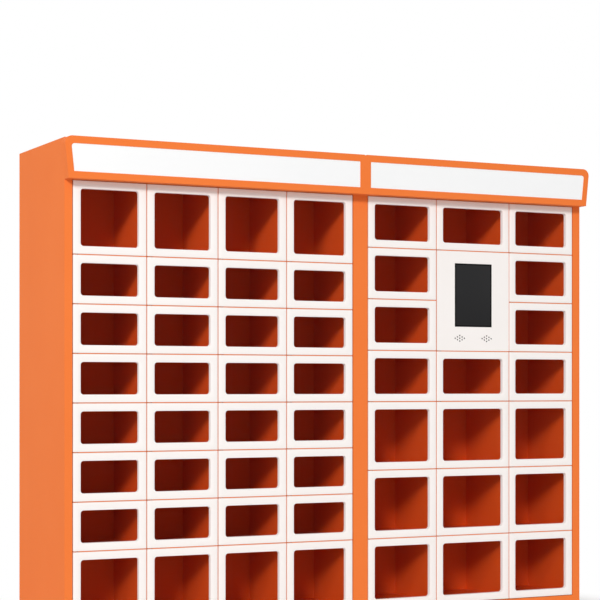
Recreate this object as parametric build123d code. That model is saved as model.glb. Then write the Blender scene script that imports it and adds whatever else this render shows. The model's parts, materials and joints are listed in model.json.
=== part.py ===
"""Smart food locker: an auxiliary cabinet and a main cabinet, side by side.

Sizes are in millimetres. +X runs to the right as a customer sees the locker, +Y runs to the back
and +Z up. The origin lies on the floor, under the middle of the whole locker.
Each door is one leaf on a vertical pin hinge at its left edge, with a window, its clear pane and
a strike plate that enters the electric lock in the hollow partition beside it.
"""

from build123d import *
import math
import os
from dataclasses import dataclass

# Door grid
DOOR_FIELD = 1800.0
AUX_SHORT_ROW = 200.0
AUX_SHORT_ROWS = 6
MAIN_SHORT_ROW = 225.0
MAIN_SHORT_ROWS = 4
MAIN_TALL_ROWS = 3
AUX_COLUMN = 320.0
AUX_COLUMNS = 4
MAIN_SIDE_COLUMN = 348.0
MAIN_CENTRE_COLUMN = 384.0
PANEL_FIRST_ROW = 1
PANEL_ROWS = 2

# Carcass
PLINTH_HEIGHT = 110.0
AUX_STILE = 35.0
MAIN_STILE = 40.0
BODY_DEPTH = 590.0
COMPARTMENT_DEPTH = 320.0
CARCASS_SHEET = 1.5
PARTITION_WIDTH = 30.0
RAIL_HEIGHT = 24.0
RAIL_DEPTH = 20.0
FRAME_SETBACK = 24.5

# Doors
DOOR_GAP = 4.0
DOOR_THICKNESS = 20.0
DOOR_SHEET = 1.2
WINDOW_MARGIN = 32.0
WINDOW_RADIUS = 13.0
PANE_THICKNESS = 3.0
PANE_LAP = 8.0

# Pin hinges
HINGE_INSET = 10.0
HINGE_SETBACK = 6.0
PIN_RADIUS = 2.5
PIN_CLEARANCE = 0.1
PIN_REACH = 8.0
TAB_THICKNESS = 2.0
TAB_WIDTH = 16.0
TAB_NOSE = 4.0

# Electric locks and strike plates
STRIKE_THICKNESS = 3.0
STRIKE_HEIGHT = 14.0
STRIKE_REACH = 16.0
STRIKE_OFFSET = 8.0
STRIKE_FOOT = 9.0
SLOT_WIDTH = 10.0
SLOT_HEIGHT = 26.0
LOCK_WIDTH = 13.5
LOCK_DEPTH = 58.0
LOCK_HEIGHT = 73.0
LOCK_MOUTH_HEIGHT = 20.0
LOCK_MOUTH_DEPTH = 22.0

# Header light boxes
HEADER_HEIGHT = 170.0
HEADER_PROUD = 52.0
HEADER_FLARE = 18.0
HEADER_CORNER = 30.0
HEADER_INNER_CORNER = 8.0
SIGN_TOP_MARGIN = 30.0
SIGN_BOTTOM_MARGIN = 28.0
SIGN_END_MARGIN = 26.0
SIGN_CORNER = 12.0
SIGN_INNER_CORNER = 3.0
SIGN_THICKNESS = 3.0
SIGN_LAP = 10.0

# Control panel
SCREEN_WIDTH = 194.0
SCREEN_HEIGHT = 284.0
SCREEN_TOP = 54.5
SCREEN_GLASS = 1.0
SCREEN_LAP = 4.0
SCREEN_BODY_CLEARANCE = 1.0
SCREEN_BODY_DEPTH = 42.0
GRILLE_OFFSET = 71.0
GRILLE_ABOVE_MIDDLE = 2.0
GRILLE_PITCH_X = 24.0
GRILLE_PITCH_Z = 6.2
GRILLE_HOLE_RADIUS = 2.6
SPEAKER_RADIUS = 30.0
SPEAKER_DEPTH = 18.0

# Electronics in the control bay and the power inlet in the rear panel
COMPUTER = (200.0, 42.0, 140.0)
POWER_SUPPLY = (215.0, 50.0, 115.0)
LOCK_BOARD = (130.0, 22.0, 90.0)
INLET_WIDTH = 48.0
INLET_HEIGHT = 28.0
INLET_DEPTH = 30.0
INLET_FLANGE = 6.0
INLET_FLANGE_THICKNESS = 2.0
INLET_CLEARANCE = 0.3
INLET_RIM = 3.0
INLET_RECESS = 16.0
INLET_PIN = (2.0, 4.0)
INLET_PIN_PITCH = 14.0
INLET_LIFT = 160.0

# Rear panel
WALL_HOLE_RADIUS = 5.5
WALL_HOLE_DROP = 60.0
WALL_HOLE_INSET = 125.0
VENT_SLOTS = 6
VENT_WIDTH = 160.0
VENT_HEIGHT = 6.0
VENT_CORNER = 2.9
VENT_PITCH = 16.0
VENT_DROP = 180.0

# Worked out from the above
AUX_TALL_ROW = (DOOR_FIELD - AUX_SHORT_ROWS * AUX_SHORT_ROW) / 2
MAIN_TALL_ROW = (DOOR_FIELD - MAIN_SHORT_ROWS * MAIN_SHORT_ROW) / MAIN_TALL_ROWS
FIELD_BOTTOM = PLINTH_HEIGHT
FIELD_TOP = FIELD_BOTTOM + DOOR_FIELD
BODY_TOP = FIELD_TOP + HEADER_HEIGHT
FRONT_Y = HEADER_PROUD - (BODY_DEPTH + HEADER_PROUD) / 2
BACK_Y = FRONT_Y + BODY_DEPTH
FRAME_Y = FRONT_Y + FRAME_SETBACK
LINER_Y = FRAME_Y + COMPARTMENT_DEPTH
HALF_PARTITION = PARTITION_WIDTH / 2
HALF_GAP = DOOR_GAP / 2
PIVOT_Y = FRONT_Y + HINGE_SETBACK
SHELF_RISE = RAIL_HEIGHT / 2


@dataclass
class Cabinet:
    """One cabinet: its name, left side, stile width, column widths and row heights from the top."""

    name: str
    left: float
    stile: float
    columns: list
    rows: list

    @property
    def width(self):
        """Outer width."""
        return sum(self.columns) + 2 * self.stile

    @property
    def right(self):
        """X of the right side."""
        return self.left + self.width

    def column_lines(self):
        """X of each grid line, from the left edge of the door field to its right edge."""
        first = self.left + self.stile
        return [first + sum(self.columns[:n]) for n in range(len(self.columns) + 1)]

    def row_lines(self):
        """Z of each grid line, from the top of the door field to its bottom."""
        return [FIELD_TOP - sum(self.rows[:n]) for n in range(len(self.rows) + 1)]


AUX_ROWS = [AUX_TALL_ROW] + [AUX_SHORT_ROW] * AUX_SHORT_ROWS + [AUX_TALL_ROW]
MAIN_ROWS = [MAIN_SHORT_ROW] * MAIN_SHORT_ROWS + [MAIN_TALL_ROW] * MAIN_TALL_ROWS
MAIN_COLUMN_WIDTHS = [MAIN_SIDE_COLUMN, MAIN_CENTRE_COLUMN, MAIN_SIDE_COLUMN]
PANEL_COLUMN = 1
AUX_WIDTH = AUX_COLUMN * AUX_COLUMNS + 2 * AUX_STILE
MAIN_WIDTH = sum(MAIN_COLUMN_WIDTHS) + 2 * MAIN_STILE
LEFT_X = -(AUX_WIDTH + MAIN_WIDTH) / 2
AUX = Cabinet("aux", LEFT_X, AUX_STILE, [AUX_COLUMN] * AUX_COLUMNS, AUX_ROWS)
MAIN = Cabinet("main", AUX.right, MAIN_STILE, MAIN_COLUMN_WIDTHS, MAIN_ROWS)


def block(x0, x1, y0, y1, z0, z1):
    """A box between two corners."""
    size = (x1 - x0, y1 - y0, z1 - z0)
    return Pos((x0 + x1) / 2, (y0 + y1) / 2, (z0 + z1) / 2) * Box(*size)


def front_prism(outline, y0, y1):
    """An outline in X and Z, drawn as X and Y, carried from y0 back to y1."""
    plane = Plane(origin=(0, y0, 0), x_dir=(1, 0, 0), z_dir=(0, -1, 0))
    return extrude(plane * outline, amount=-(y1 - y0))


def rounded_panel(x0, x1, z0, z1, y0, y1, radius):
    """A plate in X and Z with four rounded corners."""
    outline = Pos((x0 + x1) / 2, (z0 + z1) / 2) * RectangleRounded(x1 - x0, z1 - z0, radius)
    return front_prism(outline, y0, y1)


def plan_prism(points, z0, z1):
    """A closed outline of X and Y points, carried up from z0 to z1."""
    face = make_face(Polyline(*points, close=True))
    return extrude(Pos(0, 0, z0) * face, amount=z1 - z0)


def is_panel_bay(cabinet, row, column):
    """Whether the control panel covers this cell of the door grid."""
    in_rows = PANEL_FIRST_ROW <= row < PANEL_FIRST_ROW + PANEL_ROWS
    return cabinet is MAIN and column == PANEL_COLUMN and in_rows


def crosses_panel_bay(cabinet, line_number, column):
    """Whether a row's grid line would run across the open bay behind the control panel."""
    above = is_panel_bay(cabinet, line_number - 1, column)
    return above and is_panel_bay(cabinet, line_number, column)


def cells(cabinet):
    """The cells that have a food door, as (row, column) pairs counted from 0."""
    every = [(r, c) for r in range(len(cabinet.rows)) for c in range(len(cabinet.columns))]
    return [cell for cell in every if not is_panel_bay(cabinet, *cell)]


def cell_lines(cabinet, row, column, rows=1):
    """The grid lines round a cell: left and right X, bottom and top Z."""
    xs = cabinet.column_lines()
    zs = cabinet.row_lines()
    return xs[column], xs[column + 1], zs[row + rows], zs[row]


def strike_slot(right_line, middle_z):
    """The slot through a front flange where a strike plate enters."""
    middle_x = right_line - STRIKE_OFFSET
    half = SLOT_WIDTH / 2
    tall = SLOT_HEIGHT / 2
    return block(
        middle_x - half, middle_x + half,
        FRAME_Y - CARCASS_SHEET, FRAME_Y + 2 * CARCASS_SHEET,
        middle_z - tall, middle_z + tall,
    )


def slots_for_line(cabinet, line_number):
    """The strike slots in the upright on one column line, for the doors to its left."""
    line = cabinet.column_lines()[line_number]
    column = line_number - 1
    middles = []
    for row, col in cells(cabinet):
        if col == column:
            _, _, z0, z1 = cell_lines(cabinet, row, col)
            middles.append((z0 + z1) / 2)
    if cabinet is MAIN and column == PANEL_COLUMN:
        _, _, z0, z1 = cell_lines(cabinet, PANEL_FIRST_ROW, column, PANEL_ROWS)
        middles.append((z0 + z1) / 2)
    return [strike_slot(line, z) for z in middles]


def mirrored(cabinet, right_hand, x0, x1):
    """A span measured in from a cabinet's left side, or from its right side when right_hand."""
    if right_hand:
        return cabinet.right - x1, cabinet.right - x0
    return cabinet.left + x0, cabinet.left + x1


def folded_upright(cabinet, right_hand, outline, z0, z1):
    """A folded upright whose outline is measured in from the cabinet's side."""
    if right_hand:
        points = [(cabinet.right - x, y) for x, y in outline]
    else:
        points = [(cabinet.left + x, y) for x, y in outline]
    return plan_prism(points, z0, z1)


def side(cabinet, right_hand):
    """One side of a cabinet: the side sheet, the folded front stile and the inner lining."""
    t = CARCASS_SHEET
    stile_edge = cabinet.stile - HALF_GAP
    lining_face = cabinet.stile + HALF_PARTITION
    x0, x1 = mirrored(cabinet, right_hand, 0, t)
    sheet = block(x0, x1, FRONT_Y + t, BACK_Y, 0, BODY_TOP)
    stile = folded_upright(cabinet, right_hand, [
        (0, FRONT_Y), (stile_edge, FRONT_Y), (stile_edge, FRAME_Y),
        (stile_edge - t, FRAME_Y), (stile_edge - t, FRONT_Y + t), (0, FRONT_Y + t),
    ], 0, BODY_TOP)
    lining = folded_upright(cabinet, right_hand, [
        (stile_edge - t, FRAME_Y), (lining_face, FRAME_Y), (lining_face, LINER_Y),
        (lining_face - t, LINER_Y), (lining_face - t, FRAME_Y + t), (stile_edge - t, FRAME_Y + t),
    ], FIELD_BOTTOM - SHELF_RISE, FIELD_TOP + SHELF_RISE)
    if right_hand:
        for slot in slots_for_line(cabinet, len(cabinet.columns)):
            lining = lining - slot
    return [sheet, stile, lining]


def partition(cabinet, line_number):
    """An upright between two columns: a channel of folded sheet, open to the back."""
    t = CARCASS_SHEET
    line = cabinet.column_lines()[line_number]
    half = HALF_PARTITION
    outline = [
        (line - half, FRAME_Y), (line + half, FRAME_Y), (line + half, LINER_Y),
        (line + half - t, LINER_Y), (line + half - t, FRAME_Y + t),
        (line - half + t, FRAME_Y + t), (line - half + t, LINER_Y), (line - half, LINER_Y),
    ]
    upright = plan_prism(outline, FIELD_BOTTOM - SHELF_RISE, FIELD_TOP + SHELF_RISE)
    for slot in slots_for_line(cabinet, line_number):
        upright = upright - slot
    return upright


def front_rail(x0, x1, line):
    """The tube across the front of a compartment, under its shelf."""
    t = CARCASS_SHEET
    z0 = line - SHELF_RISE
    z1 = line + SHELF_RISE - t
    outer = block(x0, x1, FRAME_Y, FRAME_Y + RAIL_DEPTH, z0, z1)
    inner = block(x0 - t, x1 + t, FRAME_Y + t, FRAME_Y + RAIL_DEPTH - t, z0 + t, z1 - t)
    return outer - inner


def shelf(x0, x1, line):
    """The shelf sheet, lying on its front rail and reaching the lining at the back."""
    top = line + SHELF_RISE
    return block(x0, x1, FRAME_Y, LINER_Y, top - CARCASS_SHEET, top)


def hinge_tab(left_line, z0, z1, up, down):
    """A tab from the frame with welded pins, at the hinge side of a row's top or bottom line."""
    pivot = left_line + HALF_GAP + HINGE_INSET
    half = TAB_WIDTH / 2
    tab = block(pivot - half, pivot + half, PIVOT_Y - TAB_NOSE, FRAME_Y, z0, z1)
    if up:
        tab = tab + Pos(pivot, PIVOT_Y, z1 + PIN_REACH / 2) * Cylinder(PIN_RADIUS, PIN_REACH)
    if down:
        tab = tab + Pos(pivot, PIVOT_Y, z0 - PIN_REACH / 2) * Cylinder(PIN_RADIUS, PIN_REACH)
    return tab


def hinge_tabs(cabinet):
    """Every hinge tab of a cabinet."""
    tabs = []
    zs = cabinet.row_lines()
    last = len(zs) - 1
    half = TAB_THICKNESS / 2
    for column in range(len(cabinet.columns)):
        left = cabinet.column_lines()[column]
        for n, z in enumerate(zs):
            if crosses_panel_bay(cabinet, n, column):
                continue
            z0, z1 = z - half, z + half
            if n == 0:
                z0, z1 = z, z + TAB_THICKNESS
            if n == last:
                z0, z1 = z - TAB_THICKNESS, z
            tabs.append(hinge_tab(left, z0, z1, up=n > 0, down=n < last))
    return tabs


def rear_panel(cabinet, with_inlet):
    """The rear sheet between the sides, with wall holes, vent slots and the inlet's cut-out."""
    t = CARCASS_SHEET
    x0 = cabinet.left + t
    x1 = cabinet.right - t
    panel = block(x0, x1, BACK_Y - t, BACK_Y, FIELD_BOTTOM, BODY_TOP - t)
    hole_z = BODY_TOP - WALL_HOLE_DROP
    for x in (cabinet.left + WALL_HOLE_INSET, cabinet.right - WALL_HOLE_INSET):
        hole = Rot(90, 0, 0) * Cylinder(WALL_HOLE_RADIUS, 4 * t)
        panel = panel - Pos(x, BACK_Y - t / 2, hole_z) * hole
    middle = (x0 + x1) / 2
    for n in range(VENT_SLOTS):
        z = BODY_TOP - VENT_DROP - n * VENT_PITCH
        panel = panel - rounded_panel(
            middle - VENT_WIDTH / 2, middle + VENT_WIDTH / 2,
            z - VENT_HEIGHT / 2, z + VENT_HEIGHT / 2,
            BACK_Y - 2 * t, BACK_Y + t, VENT_CORNER,
        )
    if with_inlet:
        c = INLET_CLEARANCE
        z = FIELD_BOTTOM + INLET_LIFT
        panel = panel - block(
            middle - INLET_WIDTH / 2 - c, middle + INLET_WIDTH / 2 + c, BACK_Y - 2 * t, BACK_Y + t,
            z - INLET_HEIGHT / 2 - c, z + INLET_HEIGHT / 2 + c,
        )
    return panel


def carcass(cabinet, with_inlet):
    """Every fixed sheet of a cabinet, each a solid of its own."""
    t = CARCASS_SHEET
    inner_left = cabinet.left + t
    inner_right = cabinet.right - t
    stile_edge = cabinet.stile - HALF_GAP
    pieces = side(cabinet, False) + side(cabinet, True)
    floor_top = FIELD_BOTTOM - SHELF_RISE
    pieces.append(block(inner_left, inner_right, FRAME_Y, BACK_Y - t, floor_top - t, floor_top))
    pieces.append(block(inner_left, inner_right, FRONT_Y + t, BACK_Y, BODY_TOP - t, BODY_TOP))
    pieces.append(block(
        cabinet.left + stile_edge, cabinet.right - stile_edge, FRONT_Y, FRONT_Y + t,
        FIELD_TOP, BODY_TOP,
    ))
    pieces.append(block(
        cabinet.left + stile_edge, cabinet.right - stile_edge, FRONT_Y, FRONT_Y + t,
        0, FIELD_BOTTOM,
    ))
    for fold_z in (FIELD_TOP + TAB_THICKNESS, FIELD_BOTTOM - TAB_THICKNESS - t):
        pieces.append(block(
            cabinet.left + stile_edge, cabinet.right - stile_edge, FRONT_Y + t, FRAME_Y,
            fold_z, fold_z + t,
        ))
    pieces.append(block(inner_left, inner_right, BACK_Y - t, BACK_Y, 0, FIELD_BOTTOM))
    pieces.append(rear_panel(cabinet, with_inlet))
    lining = cabinet.stile + HALF_PARTITION
    pieces.append(block(
        cabinet.left + lining - t, cabinet.right - lining + t, LINER_Y, LINER_Y + t,
        FIELD_BOTTOM - SHELF_RISE, FIELD_TOP + SHELF_RISE,
    ))
    xs = cabinet.column_lines()
    for n in range(1, len(cabinet.columns)):
        pieces.append(partition(cabinet, n))
    for column in range(len(cabinet.columns)):
        x0 = xs[column] + HALF_PARTITION
        x1 = xs[column + 1] - HALF_PARTITION
        for n, z in enumerate(cabinet.row_lines()):
            if crosses_panel_bay(cabinet, n, column):
                continue
            pieces.append(front_rail(x0, x1, z))
            pieces.append(shelf(x0, x1, z))
    return pieces + hinge_tabs(cabinet)


def pan(x0, x1, z0, z1):
    """A folded leaf with its front sheet and four returns, and the pin holes of its hinge."""
    t = DOOR_SHEET
    back = FRONT_Y + DOOR_THICKNESS
    leaf = block(x0, x1, FRONT_Y, back, z0, z1)
    leaf = leaf - block(x0 + t, x1 - t, FRONT_Y + t, back + t, z0 + t, z1 - t)
    hole = Cylinder(PIN_RADIUS + PIN_CLEARANCE, 4 * t)
    for z in (z0, z1):
        leaf = leaf - Pos(x0 + HINGE_INSET, PIVOT_Y, z) * hole
    return leaf


def leaf_edges(lines):
    """The edges of the leaf in a cell: half a gap inside each grid line."""
    x0, x1, z0, z1 = lines
    return x0 + HALF_GAP, x1 - HALF_GAP, z0 + HALF_GAP, z1 - HALF_GAP


def strike(right_line, middle_z):
    """The strike plate with its foot, behind the leaf's right edge."""
    x = right_line - STRIKE_OFFSET
    half = STRIKE_THICKNESS / 2
    tall = STRIKE_HEIGHT / 2
    back = FRONT_Y + DOOR_SHEET
    blade = block(
        x - half, x + half, back, FRAME_Y + STRIKE_REACH, middle_z - tall, middle_z + tall
    )
    foot = block(
        x - half - STRIKE_FOOT, x - half, back, back + STRIKE_THICKNESS,
        middle_z - tall, middle_z + tall,
    )
    return blade + foot


def food_door(cabinet, row, column):
    """A food door: the folded frame round its window, the clear pane and the strike plate."""
    lines = cell_lines(cabinet, row, column)
    x0, x1, z0, z1 = leaf_edges(lines)
    t = DOOR_SHEET
    m = WINDOW_MARGIN
    back = FRONT_Y + DOOR_THICKNESS
    frame = pan(x0, x1, z0, z1)
    jamb = rounded_panel(
        x0 + m - t, x1 - m + t, z0 + m - t, z1 - m + t, FRONT_Y + t / 2, back, WINDOW_RADIUS + t
    )
    window = rounded_panel(x0 + m, x1 - m, z0 + m, z1 - m, FRONT_Y - t, back + t, WINDOW_RADIUS)
    frame = frame + jamb - window
    lap = m - PANE_LAP
    pane = rounded_panel(
        x0 + lap, x1 - lap, z0 + lap, z1 - lap, back, back + PANE_THICKNESS,
        WINDOW_RADIUS + PANE_LAP,
    )
    return [frame, pane, strike(lines[1], (lines[2] + lines[3]) / 2)]


def lock(right_line, middle_z):
    """An electric lock against the partition's wall and front flange, with its open mouth."""
    t = CARCASS_SHEET
    x0 = right_line - HALF_PARTITION + t
    y0 = FRAME_Y + t
    half = LOCK_HEIGHT / 2
    body = block(x0, x0 + LOCK_WIDTH, y0, y0 + LOCK_DEPTH, middle_z - half, middle_z + half)
    mouth = LOCK_MOUTH_HEIGHT / 2
    return body - block(
        x0 - t, x0 + LOCK_WIDTH + t, y0 - t, y0 + LOCK_MOUTH_DEPTH,
        middle_z - mouth, middle_z + mouth,
    )


def door_locks():
    """One lock for each food door and one for the control panel."""
    locks = []
    for cabinet in (AUX, MAIN):
        for row, column in cells(cabinet):
            _, right, z0, z1 = cell_lines(cabinet, row, column)
            locks.append(lock(right, (z0 + z1) / 2))
    _, right, z0, z1 = cell_lines(MAIN, PANEL_FIRST_ROW, PANEL_COLUMN, PANEL_ROWS)
    locks.append(lock(right, (z0 + z1) / 2))
    return locks


def header_outline(cabinet, flare_left, flare_right, inset, corner, inner_corner):
    """The header's front outline, inset all round: a flared end leans out as it goes up."""
    z0 = FIELD_TOP + inset[0]
    z1 = BODY_TOP - inset[1]
    lean = HEADER_FLARE / HEADER_HEIGHT

    def reach(flared, z):
        return (z - FIELD_TOP) * lean - inset[2] if flared else -inset[2]

    points = [
        (cabinet.left - reach(flare_left, z0), z0),
        (cabinet.right + reach(flare_right, z0), z0),
        (cabinet.right + reach(flare_right, z1), z1),
        (cabinet.left - reach(flare_left, z1), z1),
    ]
    face = make_face(Polyline(*points, close=True))
    for flared, point in ((flare_left, points[3]), (flare_right, points[2])):
        radius = corner if flared else inner_corner
        nearest = sorted(face.vertices(), key=lambda v: math.dist((v.X, v.Y), point))[0]
        face = fillet(nearest, radius)
    return face


def header(cabinet, flare_left, flare_right):
    """A header's folded housing, open at the back, and its white sign panel behind the window."""
    t = CARCASS_SHEET
    front = FRONT_Y - HEADER_PROUD
    sides = (flare_left, flare_right)
    margins = (SIGN_BOTTOM_MARGIN, SIGN_TOP_MARGIN, SIGN_END_MARGIN)
    lapped = tuple(m - SIGN_LAP for m in margins)
    outer = header_outline(cabinet, *sides, (0, 0, 0), HEADER_CORNER, HEADER_INNER_CORNER)
    inner = header_outline(
        cabinet, *sides, (t, t, t), HEADER_CORNER - t, HEADER_INNER_CORNER - t
    )
    window = header_outline(cabinet, *sides, margins, SIGN_CORNER, SIGN_INNER_CORNER)
    plate = header_outline(
        cabinet, *sides, lapped, SIGN_CORNER + SIGN_LAP, SIGN_INNER_CORNER
    )
    housing = front_prism(outer, front, FRONT_Y)
    housing = housing - front_prism(inner, front + t, FRONT_Y + t)
    housing = housing - front_prism(window, front - t, front + 2 * t)
    sign = front_prism(plate, front + t, front + t + SIGN_THICKNESS)
    return housing, sign


def control_panel_lines():
    """The grid lines round the control panel."""
    return cell_lines(MAIN, PANEL_FIRST_ROW, PANEL_COLUMN, PANEL_ROWS)


def screen_box():
    """The touch screen's glass: left and right X, bottom and top Z."""
    x0, x1, _, z1 = leaf_edges(control_panel_lines())
    middle = (x0 + x1) / 2
    top = z1 - SCREEN_TOP
    return middle - SCREEN_WIDTH / 2, middle + SCREEN_WIDTH / 2, top - SCREEN_HEIGHT, top


def grille_centres():
    """X and Z of the two speaker grilles, just above the middle of the band under the screen."""
    x0, x1, screen_bottom, _ = screen_box()
    _, _, leaf_bottom, _ = leaf_edges(control_panel_lines())
    middle = (x0 + x1) / 2
    z = (leaf_bottom + screen_bottom) / 2 + GRILLE_ABOVE_MIDDLE
    return [(middle + hand * GRILLE_OFFSET, z) for hand in (-1, 1)]


def grille_holes(x, z):
    """The nine places of a diamond grille: rows of one, two, three, two and one."""
    for row, count in enumerate((1, 2, 3, 2, 1)):
        for n in range(count):
            yield x + (n - (count - 1) / 2) * GRILLE_PITCH_X, z + (2 - row) * GRILLE_PITCH_Z


def control_panel():
    """The control panel: a folded leaf with the screen's cut-out, grille holes and strike plate."""
    lines = control_panel_lines()
    leaf = pan(*leaf_edges(lines))
    x0, x1, z0, z1 = screen_box()
    lap = SCREEN_LAP
    t = DOOR_SHEET
    leaf = leaf - block(x0 + lap, x1 - lap, FRONT_Y - t, FRONT_Y + 2 * t, z0 + lap, z1 - lap)
    for centre in grille_centres():
        for x, z in grille_holes(*centre):
            hole = Rot(90, 0, 0) * Cylinder(GRILLE_HOLE_RADIUS, 4 * t)
            leaf = leaf - Pos(x, FRONT_Y + t / 2, z) * hole
    return [leaf, strike(lines[1], (lines[2] + lines[3]) / 2)]


def touch_screen():
    """The screen's front glass, and the display behind it that fills the cut-out."""
    x0, x1, z0, z1 = screen_box()
    inset = SCREEN_LAP + SCREEN_BODY_CLEARANCE
    glass = block(x0, x1, FRONT_Y - SCREEN_GLASS, FRONT_Y, z0, z1)
    body = block(
        x0 + inset, x1 - inset, FRONT_Y, FRONT_Y + SCREEN_BODY_DEPTH, z0 + inset, z1 - inset
    )
    return [glass, body]


def panel_speakers():
    """Two round speakers on the back of the control panel's front sheet."""
    y = FRONT_Y + DOOR_SHEET + SPEAKER_DEPTH / 2
    return [
        Pos(x, y, z) * Rot(90, 0, 0) * Cylinder(SPEAKER_RADIUS, SPEAKER_DEPTH)
        for x, z in grille_centres()
    ]


def power_inlet():
    """The recessed power inlet, its flange against the inside of the main cabinet's rear panel."""
    middle = (MAIN.left + MAIN.right) / 2
    z = FIELD_BOTTOM + INLET_LIFT
    inside = BACK_Y - CARCASS_SHEET
    half_x = INLET_WIDTH / 2
    half_z = INLET_HEIGHT / 2
    body = block(
        middle - half_x, middle + half_x, BACK_Y - INLET_DEPTH, BACK_Y, z - half_z, z + half_z
    )
    flange = block(
        middle - half_x - INLET_FLANGE, middle + half_x + INLET_FLANGE,
        inside - INLET_FLANGE_THICKNESS, inside,
        z - half_z - INLET_FLANGE, z + half_z + INLET_FLANGE,
    )
    rim = INLET_RIM
    recess = block(
        middle - half_x + rim, middle + half_x - rim, BACK_Y - INLET_RECESS, BACK_Y + rim,
        z - half_z + rim, z + half_z - rim,
    )
    inlet = body + flange - recess
    for n in (-1, 0, 1):
        x = middle + n * INLET_PIN_PITCH
        inlet = inlet + block(
            x - INLET_PIN[0] / 2, x + INLET_PIN[0] / 2, BACK_Y - INLET_RECESS, BACK_Y - rim,
            z - INLET_PIN[1] / 2, z + INLET_PIN[1] / 2,
        )
    return inlet


def control_electronics():
    """The computer, power supply and lock boards on the control bay's lining, and the inlet."""
    x0, x1, z0, z1 = control_panel_lines()
    middle = (x0 + x1) / 2
    bay_width = x1 - x0 - PARTITION_WIDTH
    stacked = POWER_SUPPLY[2] + COMPUTER[2] + LOCK_BOARD[2]
    spacing = (z1 - z0 - RAIL_HEIGHT - stacked) / 4
    units = []
    z = z0 + SHELF_RISE + spacing
    for width, depth, height in (POWER_SUPPLY, COMPUTER):
        half = width / 2
        units.append(block(middle - half, middle + half, LINER_Y - depth, LINER_Y, z, z + height))
        z += height + spacing
    width, depth, height = LOCK_BOARD
    for hand in (-1, 1):
        x = middle + hand * (width + (bay_width - 2 * width) / 3) / 2
        half = width / 2
        units.append(block(x - half, x + half, LINER_Y - depth, LINER_Y, z, z + height))
    return units + [power_inlet()]


def save(name, pieces):
    """Writes one named sub-part, each of its pieces a separate solid."""
    solids = []
    for piece in pieces:
        solids.extend(piece.solids())
    shape = solids[0] if len(solids) == 1 else Compound(children=solids)
    export_step(shape, f"parts/{name}.step")


def main():
    """Builds and writes every sub-part."""
    os.makedirs("parts", exist_ok=True)
    save("aux_cabinet", carcass(AUX, with_inlet=False))
    save("main_cabinet", carcass(MAIN, with_inlet=True))
    headers = [header(AUX, True, False), header(MAIN, False, True)]
    save("header_housings", [housing for housing, _ in headers])
    save("header_sign_panels", [sign for _, sign in headers])
    save("door_locks", door_locks())
    save("control_electronics", control_electronics())
    save("control_panel", control_panel())
    save("touch_screen", touch_screen())
    save("panel_speakers", panel_speakers())
    for cabinet in (AUX, MAIN):
        for row, column in cells(cabinet):
            name = f"{cabinet.name}_door_r{row + 1}c{column + 1}"
            save(name, food_door(cabinet, row, column))


if __name__ == "__main__":
    main()
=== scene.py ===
"""Dresses the smart food locker: two cabinets of windowed white doors on orange folded steel."""

import json
import logging
import math
from dataclasses import dataclass, field
from enum import Enum

import bmesh
import bpy
from mathutils import Matrix, Vector


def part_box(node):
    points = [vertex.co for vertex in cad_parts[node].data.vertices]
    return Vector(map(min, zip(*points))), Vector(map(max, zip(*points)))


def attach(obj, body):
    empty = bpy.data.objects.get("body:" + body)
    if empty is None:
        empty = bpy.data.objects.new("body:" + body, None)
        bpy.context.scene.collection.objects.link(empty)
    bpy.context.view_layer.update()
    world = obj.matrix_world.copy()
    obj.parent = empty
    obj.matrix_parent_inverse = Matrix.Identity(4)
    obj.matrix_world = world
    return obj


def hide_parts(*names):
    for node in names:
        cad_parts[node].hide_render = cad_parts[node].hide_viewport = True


MM = 0.001
WELD = 0.001 * MM
LOG = logging.getLogger("locker")

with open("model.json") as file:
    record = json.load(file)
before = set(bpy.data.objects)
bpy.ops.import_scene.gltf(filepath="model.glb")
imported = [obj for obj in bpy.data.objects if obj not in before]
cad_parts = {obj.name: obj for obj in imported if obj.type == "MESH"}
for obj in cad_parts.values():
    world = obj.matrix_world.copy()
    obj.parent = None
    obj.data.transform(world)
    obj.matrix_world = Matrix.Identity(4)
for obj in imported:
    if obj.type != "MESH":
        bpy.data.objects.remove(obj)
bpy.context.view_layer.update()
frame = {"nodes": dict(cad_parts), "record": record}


class Slot(Enum):
    """The record's material slots, each paired with a new piece's finish."""

    ORANGE = "orange_steel"
    WHITE = "white_steel"
    PANE = "clear_acrylic"
    ZINC = "zinc_lock"
    ELECTRONICS = "electronics"
    SCREEN = "screen_glass"
    PLASTIC = "black_plastic"
    RUBBER = "black_gasket"


class Body(Enum):
    """Bodies that carry more than a food door."""

    LOCKER = "locker_body"
    PANEL = "control_panel_leaf"


def linear(colour: str) -> tuple[float, float, float, float]:
    """Turns an sRGB hex colour to linear light.

    Args:
        colour: Six hex digits after a hash.

    Returns:
        Red, green, blue and an alpha of 1.
    """
    parts = [int(colour[n:n + 2], 16) / 255 for n in (1, 3, 5)]
    light = [c / 12.92 if c <= 0.04045 else ((c + 0.055) / 1.055) ** 2.4 for c in parts]
    return (*light, 1.0)


def add_node(tree: bpy.types.NodeTree, kind: str, settings: dict | None = None,
             inputs: dict | None = None) -> bpy.types.Node:
    """Adds one node with its settings, values and links.

    Args:
        tree: The tree it goes into.
        kind: Its bl_idname.
        settings: Attributes of the node.
        inputs: Socket names or numbers, each with a value or with another node's output.

    Returns:
        The new node.
    """
    node = tree.nodes.new(kind)
    for name, value in (settings or {}).items():
        setattr(node, name, value)
    for name, value in (inputs or {}).items():
        if isinstance(value, bpy.types.NodeSocket):
            tree.links.new(value, node.inputs[name])
        else:
            node.inputs[name].default_value = value
    return node


def new_material(name: str) -> tuple[bpy.types.Material, bpy.types.NodeTree]:
    """Starts an empty node material.

    Args:
        name: The finish's name.

    Returns:
        The material and its tree.
    """
    material = bpy.data.materials.new(name)
    material.use_nodes = True
    material.node_tree.nodes.clear()
    return material, material.node_tree


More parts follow.
